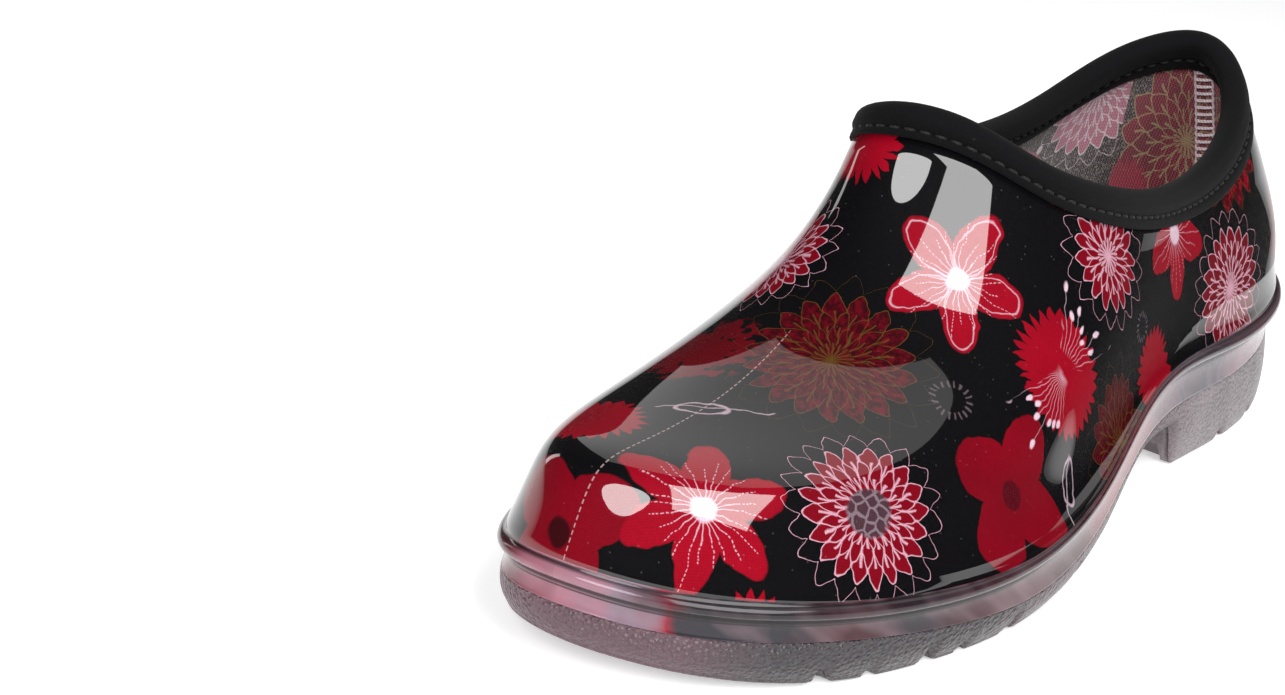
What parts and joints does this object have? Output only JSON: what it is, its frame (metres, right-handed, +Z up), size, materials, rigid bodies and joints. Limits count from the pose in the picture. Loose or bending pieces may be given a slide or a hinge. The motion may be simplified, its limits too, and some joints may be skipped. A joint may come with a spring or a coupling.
{
  "type": "rubber garden clog",
  "caption": "Slip-on garden clog, left shoe: clear glossy moulded upper over a flower-print knit lining, black knit topline binding, translucent lugged sole and loose footbed.",
  "frame": {"origin": "middle of the shoe's length and width, on the ground under the tread", "axes": "+Y towards the heel along the shoe's length, +X towards the outer side of this left shoe, +Z up"},
  "size_m": [0.0977, 0.2745, 0.0938],
  "materials": {
    "translucent_sole": "translucent smoky PVC with a pebbled side wall",
    "clear_gloss_upper": "clear high-gloss PVC over the red and black print",
    "printed_knit": "printed knit, paler on the inside",
    "black_binding": "matte black knit",
    "black_thread": "matte",
    "white_thread": "soft thread",
    "dark_thread": "soft thread",
    "board": "matte fibre board",
    "black_foam": "matte foam",
    "black_mesh": "matte open mesh"
  },
  "bodies": {
    "clog": {"outsole": "translucent_sole", "upper_shell": "clear_gloss_upper", "lining": "printed_knit", "topline_binding": "black_binding", "binding_stitching": "black_thread", "back_seam_stitching": "white_thread", "toe_seam_stitching": "dark_thread", "insole_board": "board", "board_stitching": "white_thread"},
    "footbed": {"footbed_foam": "black_foam", "footbed_mesh_cover": "black_mesh"}
  },
  "joints": [
    {"name": "footbed_lift", "type": "hinge", "parent": "clog", "child": "footbed", "pos_m": [0, -0.124, 0.018], "axis": [1, 0, 0], "range_deg": [0, 6]}
  ]
}
